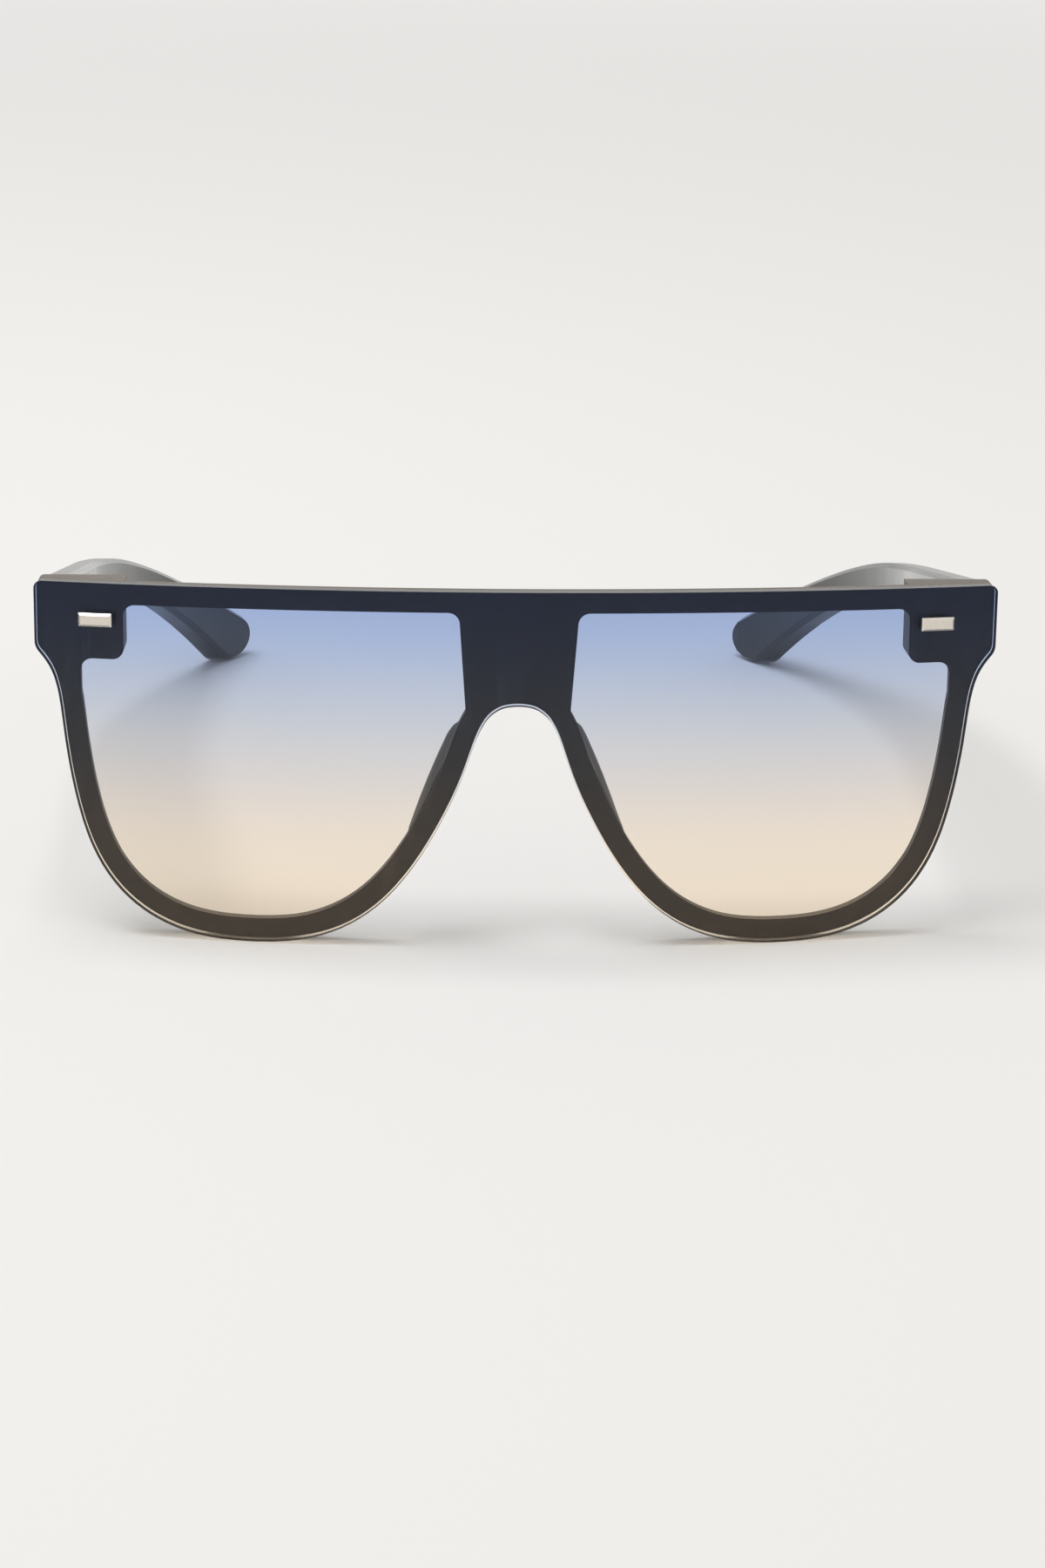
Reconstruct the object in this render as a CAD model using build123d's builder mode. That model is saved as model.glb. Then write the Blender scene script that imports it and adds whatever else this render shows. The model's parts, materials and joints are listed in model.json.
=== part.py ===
from build123d import *
import os
from math import asin, atan2, cos, degrees, hypot, radians, sin, sqrt

# Flat top sunglasses with a one piece shield lens, standing open on a table.
# Millimetres. +X is the wearer's left, +Y runs back along the temples, +Z is up.
# The origin lies on the table, midway between the foremost and rearmost points.

# Front
front_width = 148.0  # across the lens
front_height = 55.7  # up the lens, from its lowest point to the flat top
wrap_radius = 350.0  # how gently the front wraps round the face
lens_thickness = 1.8
lens_overlap = 0.3  # how far the lens stands out past the frame at its sides and foot
frame_top_drop = 0.12  # and at its flat top
lens_corner = 1.2  # rounding of the two top corners
lens_seat_gap = 0.05  # between the lens and the frame
rim_depth = 1.8  # thickness of the frame behind the lens
rim_flank_width = 3.35  # beside the eye, down from the end block
rim_foot_width = 3.1
rim_nose_width = 3.0  # beside the nose arch
top_bar_height = 3.45
bridge_width = 15.75
bridge_flare = 1.5  # how much further out each side of the bridge is at its top
eye_corner = 1.8  # rounding of the corners of the eye openings

# Lens outline, as shares of half the front width and of the front height
shoulder_share = 0.831  # where the straight upper side ends
flank_shares = (
    (0.9845, 0.7905),
    (0.9654, 0.7510),
    (0.9547, 0.7068),
    (0.9449, 0.6151),
    (0.9307, 0.4768),
    (0.9082, 0.3399),
    (0.8697, 0.2104),
    (0.8039, 0.1029),
    (0.7138, 0.0329),
    (0.6199, 0.0046),
)
foot_share = 0.541
nose_shares = (
    (0.0338, 0.6759),
    (0.0611, 0.6499),
    (0.0788, 0.6122),
    (0.0911, 0.5700),
    (0.1142, 0.4820),
    (0.1419, 0.3968),
    (0.1739, 0.3142),
    (0.2105, 0.2345),
    (0.2530, 0.1607),
    (0.3041, 0.0957),
    (0.3649, 0.0454),
    (0.4331, 0.0140),
)
arch_share = 0.6828
outline_bends = 8  # pairs of arcs that each side and nose edge is drawn with
bend_crowding = 1.4  # how they close up towards the shoulder and the arch
opening_start_share = 0.14  # where an eye opening's outer side turns straight up, along the flank

# End blocks, which carry the hinges
block_width = 13.8
block_height = 12.0  # down from the flat top
block_back = 13.6  # how far the rear face lies behind the foremost point of the lens

# Nose pads, moulded with the frame, along the middle of the rim beside the nose
pad_root_shares = ((0.2108, 0.3034), (0.1541, 0.4547), (0.1020, 0.6250))  # its foot, middle and head
pad_rear_shares = ((0.2081, 0.3232), (0.1777, 0.4381), (0.1304, 0.5850))
pad_depth = 6.0  # behind the rim
pad_thickness = 2.6
pad_section_shares = (  # of its depth, its way out to the side, its length and its thickness
    (0.0, 0.0, 1.0, 1.0),
    (0.45, 0.7, 1.0, 0.85),
    (0.8, 0.95, 0.9, 0.68),
    (1.0, 1.0, 0.6, 0.42),
)

# Temples, measured from the hinge axis
temple_thickness = 4.2
temple_inset = 0.5  # outer face in from the end of the lens
temple_joint_height = 11.2
temple_waist_height = 6.0
temple_tip_height = 9.0
temple_splay = 1.2  # degrees outward
waist_back = 81.0  # where the temple starts to bend down behind the ear
waist_drop = 10.0  # how far its middle has come down there
bow_back = 62.0  # where it starts to curve inward
bow_radius = 130.0
tip_back = 134.5  # centre of the rounded tip
tip_drop = 32.2  # its middle below the temple's middle at the hinge
tip_upper_dip = 32.5  # degrees down where the top edge meets the rounded tip
tip_lower_dip = 42.0  # and the bottom edge
temple_softening = 0.8  # width of its bevelled edges along the side
joint_gap = 0.2  # between an open temple and the end block

# Plaques with their rivet pins
plaque_width = 5.2
plaque_height = 2.3
plaque_thickness = 1.0
plaque_bevel = 0.35
plaque_in = 9.6  # centre, in from the end of the lens
plaque_down = 5.5  # centre, down from the top of the lens
pin_radius = 0.6
pin_spacing = 2.6
pin_gap = 0.02

# Hinges
knuckle_count = 5  # odd: the first, the last and every other one are the front leaf's
hinge_height = 6.6
knuckle_radius = 1.5
knuckle_gap = 0.05
knuckle_web = 2.4
hinge_offset = 1.65  # axis from the temple's inner face and from the block's rear face
leaf_thickness = 0.8
leaf_gap = 0.02
leaf_corner = 0.8
front_leaf_reach = 7.0  # from the axis towards the nose
temple_leaf_reach = 9.0  # behind the axis
temple_leaf_height = 5.6
anchor_depth = 1.2  # into the temple
anchor_height = 3.0
anchor_length = 6.0
screw_radius = 0.7
screw_gap = 0.02
screw_head_radius = 1.15
screw_head_height = 0.6
screw_head_bevel = 0.2
screw_slot_width = 0.35
screw_slot_depth = 0.3
screw_stickout = 0.2  # past the lowest knuckle

overrun = 1.0  # how far cutting shapes run past what they cut
sameness = 0.02  # sizes closer than this are taken for equal
straightness = 0.001  # turns under this are taken for none
middle_share = 0.5  # of an edge
along_share = 0.98  # cosine of the angle at which an edge counts as running upward

# Worked out from the sizes above
half_width = front_width / 2
frame_top = front_height - frame_top_drop
block_bottom = front_height - block_height
block_middle = (frame_top + block_bottom) / 2
frame_front = lens_thickness + lens_seat_gap
hinge_in = half_width - temple_inset - temple_thickness - hinge_offset
hinge_back = block_back + hinge_offset
hinge_level = front_height - plaque_down
plaque_out = half_width - plaque_in
front_leaf_width = front_leaf_reach + knuckle_radius
front_leaf_middle = hinge_in + knuckle_radius - front_leaf_width / 2
joint_front = joint_gap - hinge_offset  # front end of a temple, from the hinge axis
tip_radius = temple_tip_height / 2
tip_level = block_middle - tip_drop


def sag(reach):
    """How far back the wrapped front has curved at a distance from its middle."""
    return wrap_radius - sqrt(wrap_radius**2 - reach**2)


# The glasses stand on the lens's two lowest edges and the two temple tips, and that
# sets how far the front leans back.
foot_back = sag(half_width * foot_share) + lens_thickness
tip_distance = hypot(tip_level, hinge_back + tip_back - foot_back)
lean = atan2(tip_level, hinge_back + tip_back - foot_back) - asin(tip_radius / tip_distance)
sideways = Vector(1, 0, 0)
back = Vector(0, cos(lean), -sin(lean))
up = Vector(0, sin(lean), cos(lean))
foremost = min(
    sag(half_width * across_share) * cos(lean) + front_height * up_share * sin(lean)
    for across_share, up_share in nose_shares
)
rearmost = (hinge_back + tip_back) * cos(lean) + tip_level * sin(lean) + tip_radius
stand = Vector(0, -(foremost + rearmost) / 2, foot_back * sin(lean))


def face_plane(depth):
    """A plane along the front, seen from the front: x is sideways and y is up."""
    return Plane(origin=stand + back * depth, x_dir=sideways, z_dir=-back)


def level_plane(height):
    """A plane square to the front, seen from above: x is sideways and y is back."""
    return Plane(origin=stand + up * height, x_dir=sideways, z_dir=up)


# Directions along and across the left temple, which splays out a little
splay = radians(temple_splay)
temple_run = back * cos(splay) + sideways * sin(splay)
temple_out = sideways * cos(splay) - back * sin(splay)
hinge_foot = stand + sideways * hinge_in + back * hinge_back


def temple_level_plane(height):
    """A plane seen from above, from the hinge axis: x is outward and y is back."""
    return Plane(origin=hinge_foot + up * height, x_dir=temple_out, z_dir=up)


def temple_side_plane(reach):
    """A plane seen from the wearer's left, from the hinge axis: x is back and y is up."""
    return Plane(origin=hinge_foot + temple_out * reach, x_dir=temple_run, z_dir=temple_out)


def outline_point(shares):
    """A point of the lens outline, from its shares."""
    return (half_width * shares[0], front_height * shares[1])


# Side and nose edges of the lens, one half, from the shoulder and from the top of the
# nose arch down to the lowest point
shoulder = (half_width, front_height * shoulder_share)
foot = (half_width * foot_share, 0)
arch = (0, front_height * arch_share)
flank_points = [outline_point(shares) for shares in flank_shares]
flank_ways = ((0, -1), (-1, 0))
flank_edge = Spline(shoulder, *flank_points, foot, tangents=flank_ways, tangent_scalars=(1, 1))
nose_points = [outline_point(shares) for shares in nose_shares]
nose_ways = ((1, 0), (1, 0))
nose_edge = Spline(arch, *nose_points, foot, tangents=nose_ways, tangent_scalars=(1, 1))


def bend(start, start_way, end, end_way):
    """Two arcs that meet smoothly, from one point and direction to another."""
    run = end - start
    ways = start_way + end_way
    turn = 2 * (1 - start_way.dot(end_way))
    pull = run.dot(ways)
    if turn < straightness:
        reach = run.dot(run) / (2 * pull)
    else:
        reach = (sqrt(pull**2 + turn * run.dot(run)) - pull) / turn
    joint = (start + end + (start_way - end_way) * reach) / 2
    first = TangentArc(start, joint, tangent=start_way)
    TangentArc(joint, end, tangent=first % 1)


def drawn_in(edge, start_inset, foot_inset, start_share=0):
    """Arcs down an edge of the lens outline, moved to its right, and their start."""
    stops = []
    for step in range(outline_bends + 1):
        share = start_share + (1 - start_share) * (step / outline_bends) ** bend_crowding
        inset = start_inset + (foot_inset - start_inset) * share
        way = edge % share
        stops.append((edge @ share + Vector(way.Y, -way.X) * inset, way))
    for (start, start_way), (end, end_way) in zip(stops, stops[1:]):
        bend(start, start_way, end, end_way)
    return stops[0][0]


def outline(inset, top_inset):
    """The lens outline, or one drawn in from it at its sides and foot and at its top."""
    with BuildSketch() as drawn:
        with BuildLine():
            corner = (half_width - inset, front_height - top_inset)
            Polyline((0, front_height - top_inset), corner, drawn_in(flank_edge, inset, inset))
            drawn_in(nose_edge, -inset, -inset)
            mirror(about=Plane.YZ)
        make_face()
        top_vertices = drawn.vertices().group_by(Axis.Y)[-1].sort_by(Axis.X)
        fillet([top_vertices[0], top_vertices[-1]], lens_corner - inset)
    return drawn.sketch


# Shield lens, one sheet across both eyes
with BuildPart() as shield_lens:
    with BuildSketch(face_plane(0)):
        add(outline(0, 0))
    extrude(amount=-(sag(half_width) + lens_thickness + overrun))
    with BuildSketch(level_plane(-overrun)):
        with Locations((0, wrap_radius)):
            Circle(wrap_radius)
            Circle(wrap_radius - lens_thickness, mode=Mode.SUBTRACT)
    extrude(amount=front_height + 2 * overrun, mode=Mode.INTERSECT)
    with BuildSketch(face_plane(block_back)):
        with Locations((plaque_out, hinge_level), (-plaque_out, hinge_level)):
            with GridLocations(pin_spacing, 0, 2, 1):
                Circle(pin_radius + pin_gap)
    extrude(amount=block_back + overrun, mode=Mode.SUBTRACT)

# Eye openings: the lens outline drawn in by the rim, less the top bar, the bridge and
# the end blocks, which step down into the outer top corners
with BuildSketch() as eye_openings:
    with BuildLine():
        flank_inset = lens_overlap + rim_flank_width
        foot_inset = lens_overlap + rim_foot_width
        start = drawn_in(flank_edge, flank_inset, foot_inset, opening_start_share)
        drawn_in(nose_edge, -lens_overlap - rim_nose_width, -foot_inset)
        Polyline(start, (start.X, front_height), (0, front_height))
        mirror(about=Plane.YZ)
    make_face()
    with Locations((0, front_height)):
        Rectangle(front_width, 2 * top_bar_height, mode=Mode.SUBTRACT)
    with Locations((half_width, front_height), (-half_width, front_height)):
        Rectangle(2 * block_width, 2 * block_height, mode=Mode.SUBTRACT)
    with BuildLine():
        bridge_foot = front_height * arch_share - rim_nose_width
        Polyline(
            (bridge_width / 2, bridge_foot),
            (bridge_width / 2 + bridge_flare, front_height),
            (-bridge_width / 2 - bridge_flare, front_height),
            (-bridge_width / 2, bridge_foot),
            close=True,
        )
    make_face(mode=Mode.SUBTRACT)
    corners = eye_openings.vertices()
    top_corners = corners.group_by(Axis.Y)[-1]
    ledge_corners = corners.filter_by(lambda v: abs(v.Y - block_bottom) < sameness)
    fillet(top_corners + ledge_corners, eye_corner)


def pad_slot(hand, way_share, length_share, thickness_share):
    """A section of a nose pad, along the rim beside the nose, on one hand."""
    roots = [Vector(*outline_point(shares)) for shares in pad_root_shares]
    rears = [Vector(*outline_point(shares)) for shares in pad_rear_shares]
    path = [root + (rear - root) * way_share for root, rear in zip(roots, rears)]
    points = [path[1] + (point - path[1]) * length_share for point in path]
    with BuildSketch() as drawn:
        with BuildLine():
            ThreePointArc(*[(hand * point.X, point.Y) for point in points])
            offset(amount=pad_thickness * thickness_share / 2)
        make_face()
    return drawn.sketch


# Front frame, one moulding: rim, bridge, end blocks and nose pads
pad_front = frame_front + rim_depth / 2
with BuildPart() as front_frame:
    with BuildSketch(level_plane(0)):
        with Locations((0, wrap_radius)):
            Circle(wrap_radius - frame_front)
            Circle(wrap_radius - frame_front - rim_depth, mode=Mode.SUBTRACT)
        with Locations((0, block_back / 2)):
            Rectangle(front_width, block_back, mode=Mode.INTERSECT)
    extrude(amount=front_height)
    with BuildSketch(level_plane(block_bottom)):
        with Locations((half_width, block_back / 2), (-half_width, block_back / 2)):
            Rectangle(2 * block_width, block_back)
        with Locations((0, wrap_radius)):
            Circle(wrap_radius - frame_front, mode=Mode.INTERSECT)
    extrude(amount=block_height)
    with BuildSketch(face_plane(block_back)):
        add(outline(lens_overlap, frame_top_drop))
    extrude(amount=block_back + overrun, mode=Mode.INTERSECT)
    with BuildSketch(face_plane(block_back)):
        add(eye_openings.sketch)
    extrude(amount=block_back + overrun, mode=Mode.SUBTRACT)
    for hand in (1, -1):
        for depth_share, way_share, length_share, thickness_share in pad_section_shares:
            with BuildSketch(face_plane(pad_front + pad_depth * depth_share)):
                add(pad_slot(hand, way_share, length_share, thickness_share))
        loft(ruled=True)
    # Pin holes through the blocks, and the seats that the hinge leaves lie in
    with BuildSketch(face_plane(block_back)):
        with Locations((plaque_out, hinge_level), (-plaque_out, hinge_level)):
            with GridLocations(pin_spacing, 0, 2, 1):
                Circle(pin_radius + pin_gap)
    extrude(amount=block_back + overrun, mode=Mode.SUBTRACT)
    with BuildSketch(face_plane(block_back)):
        for hand in (1, -1):
            with Locations((hand * front_leaf_middle, hinge_level)):
                RectangleRounded(
                    front_leaf_width + 2 * leaf_gap,
                    hinge_height + 2 * leaf_gap,
                    leaf_corner + leaf_gap,
                )
    extrude(amount=leaf_thickness + leaf_gap, mode=Mode.SUBTRACT)

# Plaque with two rivet pins, which clamp the lens, the frame and the hinge leaf
plaque_turn = asin(plaque_out / wrap_radius)
plaque_facing = sideways * sin(plaque_turn) - back * cos(plaque_turn)
plaque_seat = Plane(
    origin=stand + sideways * plaque_out + back * sag(plaque_out) + up * hinge_level,
    x_dir=sideways * cos(plaque_turn) + back * sin(plaque_turn),
    z_dir=plaque_facing,
)
with BuildPart() as front_plaque:
    with BuildSketch(plaque_seat):
        Rectangle(plaque_width, plaque_height)
    extrude(amount=plaque_thickness)
    chamfer(front_plaque.faces().sort_by(Axis.Y)[0].edges(), plaque_bevel)
    with BuildSketch(face_plane(block_back)):
        with Locations((plaque_out, hinge_level)):
            with GridLocations(pin_spacing, 0, 2, 1):
                Circle(pin_radius)
    extrude(amount=block_back - sag(plaque_out) + plaque_thickness / 2)

# Hinge: a stack of knuckles on one axis, taken in turn by the two leaves
knuckle_pitch = hinge_height / knuckle_count
knuckle_height = knuckle_pitch - knuckle_gap
hinge_bottom = hinge_level - hinge_height / 2
knuckle_levels = [hinge_bottom + knuckle_gap / 2 + knuckle_pitch * n for n in range(knuckle_count)]

with BuildPart() as hinge_front_leaf:
    with BuildSketch(face_plane(block_back)):
        with Locations((front_leaf_middle, hinge_level)):
            RectangleRounded(front_leaf_width, hinge_height, leaf_corner)
        with Locations((plaque_out, hinge_level)):
            with GridLocations(pin_spacing, 0, 2, 1):
                Circle(pin_radius + pin_gap, mode=Mode.SUBTRACT)
    extrude(amount=leaf_thickness)
    for height in knuckle_levels[::2]:
        with BuildSketch(level_plane(height)):
            with Locations((hinge_in, hinge_back)):
                Circle(knuckle_radius)
            with Locations((hinge_in, hinge_back - hinge_offset / 2)):
                Rectangle(knuckle_web, hinge_offset)
            with Locations((hinge_in, hinge_back)):
                Circle(screw_radius + screw_gap, mode=Mode.SUBTRACT)
        extrude(amount=knuckle_height)


def temple_plate(grown):
    """Outline of the temple's hinge leaf, or of the seat that it lies in."""
    with BuildSketch() as drawn:
        with Locations(((temple_leaf_reach + joint_front) / 2, hinge_level)):
            Rectangle(temple_leaf_reach - joint_front + 2 * grown, temple_leaf_height + 2 * grown)
        fillet(drawn.vertices().group_by(Axis.X)[-1], leaf_corner + grown)
    return drawn.sketch


def temple_anchor(grown):
    """Outline of the block on the back of that leaf, sunk into the temple."""
    with BuildSketch() as drawn:
        with Locations((temple_leaf_reach / 2, hinge_level)):
            SlotOverall(anchor_length + 2 * grown, anchor_height + 2 * grown)
    return drawn.sketch


with BuildPart() as hinge_temple_leaf:
    with BuildSketch(temple_side_plane(hinge_offset)):
        add(temple_plate(0))
    extrude(amount=leaf_thickness)
    with BuildSketch(temple_side_plane(hinge_offset)):
        add(temple_anchor(0))
    extrude(amount=leaf_thickness + anchor_depth)
    for height in knuckle_levels[1::2]:
        with BuildSketch(temple_level_plane(height)):
            Circle(knuckle_radius)
            with Locations((hinge_offset / 2, 0)):
                Rectangle(hinge_offset, knuckle_web)
            Circle(screw_radius + screw_gap, mode=Mode.SUBTRACT)
        extrude(amount=knuckle_height)

# Hinge screw, slotted, from the top knuckle down through the lowest
with BuildPart() as hinge_screw:
    with BuildSketch(temple_level_plane(hinge_bottom - screw_stickout)):
        Circle(screw_radius)
    extrude(amount=hinge_height + screw_stickout)
    with BuildSketch(temple_level_plane(hinge_bottom + hinge_height)):
        Circle(screw_head_radius)
    extrude(amount=screw_head_height)
    chamfer(hinge_screw.edges().sort_by(Axis.Z)[-1], screw_head_bevel)
    with BuildSketch(temple_level_plane(hinge_bottom + hinge_height + screw_head_height)):
        Rectangle(2 * screw_head_radius + overrun, screw_slot_width)
    extrude(amount=-screw_slot_depth, mode=Mode.SUBTRACT)

# Temple: its side view, cut to its bowed plan
with BuildPart() as temple:
    with BuildSketch(temple_side_plane(-bow_radius)):
        with BuildLine():
            waist_level = block_middle - waist_drop
            top = Line(
                (joint_front, block_middle + temple_joint_height / 2),
                (waist_back, waist_level + temple_waist_height / 2),
            )
            bottom = Line(
                (joint_front, block_middle - temple_joint_height / 2),
                (waist_back, waist_level - temple_waist_height / 2),
            )
            upper_dip = radians(tip_upper_dip)
            lower_dip = radians(tip_lower_dip)
            tip_top = (
                tip_back + tip_radius * sin(upper_dip),
                tip_level + tip_radius * cos(upper_dip),
            )
            tip_bottom = (
                tip_back - tip_radius * sin(lower_dip),
                tip_level - tip_radius * cos(lower_dip),
            )
            tip_end = (
                tip_back + tip_radius * cos(upper_dip),
                tip_level - tip_radius * sin(upper_dip),
            )
            TangentArc(top @ 1, tip_top, tangent=top % 1)
            ThreePointArc(tip_top, tip_end, tip_bottom)
            TangentArc(bottom @ 1, tip_bottom, tangent=bottom % 1)
            Line(top @ 0, bottom @ 0)
        make_face()
    extrude(amount=2 * bow_radius)
    with BuildSketch(temple_level_plane(-overrun)):
        with BuildLine():
            bow_reach = tip_back + tip_radius + overrun - bow_back
            bow_turn = degrees(asin(bow_reach / bow_radius))
            outer_offset = hinge_offset + temple_thickness
            inner = Line((hinge_offset, joint_front), (hinge_offset, bow_back))
            outer = Line((outer_offset, joint_front), (outer_offset, bow_back))
            inner_bow = JernArc(inner @ 1, inner % 1, bow_radius, bow_turn)
            outer_bow = JernArc(outer @ 1, outer % 1, bow_radius + temple_thickness, bow_turn)
            Line(inner_bow @ 1, outer_bow @ 1)
            Line(inner @ 0, outer @ 0)
        make_face()
    extrude(amount=front_height + 2 * overrun, mode=Mode.INTERSECT)
    butt_edges = temple.faces().sort_by(Axis.Y)[0].edges()
    crossing = temple.edges().filter_by(lambda e: e.length < temple_thickness + sameness)
    seams = temple.edges().filter_by(lambda e: abs((e % middle_share).dot(up)) > along_share)
    long_edges = temple.edges() - butt_edges - crossing - seams
    chamfer(long_edges, temple_softening)
    with BuildSketch(temple_side_plane(hinge_offset)):
        add(temple_plate(leaf_gap))
    extrude(amount=leaf_thickness + leaf_gap, mode=Mode.SUBTRACT)
    with BuildSketch(temple_side_plane(hinge_offset)):
        add(temple_anchor(leaf_gap))
    extrude(amount=leaf_thickness + anchor_depth + leaf_gap, mode=Mode.SUBTRACT)

# The single pieces, and the pairs, whose right hand piece mirrors the left
pieces = {"front_frame": front_frame.part, "shield_lens": shield_lens.part}
pairs = {
    "front_plaque": front_plaque,
    "hinge_front_leaf": hinge_front_leaf,
    "hinge_temple_leaf": hinge_temple_leaf,
    "hinge_screw": hinge_screw,
    "temple": temple,
}
for name, left in pairs.items():
    with BuildPart() as right:
        mirror(left.part, about=Plane.YZ)
    pieces[name + "_left"] = left.part
    pieces[name + "_right"] = right.part

os.makedirs("parts", exist_ok=True)
for name, piece in pieces.items():
    piece.label = name
    export_step(piece, f"parts/{name}.step")

hinge_point = hinge_foot + up * hinge_level
print("lean in degrees:", round(degrees(lean), 3))
print("left hinge, middle of its axis:", hinge_point)
print("direction of the hinge axis:", up)
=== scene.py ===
"""Flat top sunglasses, standing open on a pale table in soft studio light."""

import json
import logging
import math
from dataclasses import dataclass, field
from enum import Enum
from typing import Any, Callable

import bmesh
import bpy
from bmesh.types import BMesh
from bpy.types import Material, Node, NodeSocket, NodeTree, Object
from mathutils import Matrix, Vector

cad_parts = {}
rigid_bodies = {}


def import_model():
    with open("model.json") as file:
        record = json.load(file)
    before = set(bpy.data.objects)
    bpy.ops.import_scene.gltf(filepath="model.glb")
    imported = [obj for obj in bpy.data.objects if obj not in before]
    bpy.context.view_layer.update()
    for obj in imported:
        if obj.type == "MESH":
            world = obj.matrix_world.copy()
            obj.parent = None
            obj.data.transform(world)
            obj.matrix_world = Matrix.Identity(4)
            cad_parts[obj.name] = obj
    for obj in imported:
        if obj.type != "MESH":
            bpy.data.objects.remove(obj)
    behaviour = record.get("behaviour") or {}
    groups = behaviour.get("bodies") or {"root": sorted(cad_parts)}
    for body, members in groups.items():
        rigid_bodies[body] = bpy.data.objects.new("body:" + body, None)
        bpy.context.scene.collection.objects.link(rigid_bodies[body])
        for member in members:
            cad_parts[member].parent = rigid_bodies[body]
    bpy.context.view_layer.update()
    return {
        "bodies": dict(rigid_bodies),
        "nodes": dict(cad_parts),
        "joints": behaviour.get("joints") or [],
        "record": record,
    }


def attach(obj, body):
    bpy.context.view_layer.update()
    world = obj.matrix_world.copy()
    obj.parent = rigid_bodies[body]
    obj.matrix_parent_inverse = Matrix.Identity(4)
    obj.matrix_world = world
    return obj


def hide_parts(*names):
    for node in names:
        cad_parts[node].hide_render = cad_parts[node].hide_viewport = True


log = logging.getLogger("sunglasses")

MM = 0.001
Triple = tuple[float, float, float]
Color = Triple
Value = NodeSocket | float
Paint = NodeSocket | tuple[float, float, float, float]
Stretch = tuple[Vector, Vector]


class Side(Enum):
    """The wearer's two sides, as the names of their nodes end."""

    LEFT = "left"
    RIGHT = "right"


def linear(red: int, green: int, blue: int) -> Color:
    """A colour as the eye reads it, in the renderer's linear values.

    Args:
        red: Red, from 0 to 255.
        green: Green, from 0 to 255.
        blue: Blue, from 0 to 255.

    Returns:
        The three linear values, from 0 to 1.
    """
    full, toe_end, toe_slope, lift, power = 255, 0.04045, 12.92, 0.055, 2.4
    values = []
    for channel in (red, green, blue):
        share = channel / full
        curved = ((share + lift) / (1 + lift)) ** power
        values.append(share / toe_slope if share <= toe_end else curved)
    return (values[0], values[1], values[2])


def opaque(color: Color) -> tuple[float, float, float, float]:
    """A colour with the full alpha that a colour socket asks for."""
    return (*color, 1.0)


def socket_name(word: str) -> str:
    """The name of a socket, from a keyword with _ for a space."""
    return word.replace("_", " ").title()


@dataclass(frozen=True)
class Attitude:
    """How the glasses stand: the front leans back on its two lowest edges.

    A place on the front has a side, towards the wearer's left, a height up the lens and a
    depth behind the foremost point of the lens.
    """

    lean: float
    stand: Vector = field(default_factory=lambda: Vector((0.0, -78.199, 0.362)) * MM)

    @classmethod
    def of_hinge(cls, axis: Vector) -> "Attitude":
        """The attitude that a hinge axis shows, since it runs up the front."""
        return cls(lean=math.atan2(axis.y, axis.z))

    @property
    def up(self) -> Vector:
        """Up the front."""
        return Vector((0, math.sin(self.lean), math.cos(self.lean)))

    @property
    def back(self) -> Vector:
        """Straight back from the front."""
        return Vector((0, math.cos(self.lean), -math.sin(self.lean)))

    def point(self, side: float, height: float, depth: float) -> Vector:
        """The point of the scene at a side, height and depth."""
        return self.stand + Vector((side, 0, 0)) + self.up * height + self.back * depth

    def reading(self, point: Vector) -> tuple[float, float, float]:
        """The side, height and depth of a point of the scene."""
        away = point - self.stand
        return away.x, away.dot(self.up), away.dot(self.back)


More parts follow.
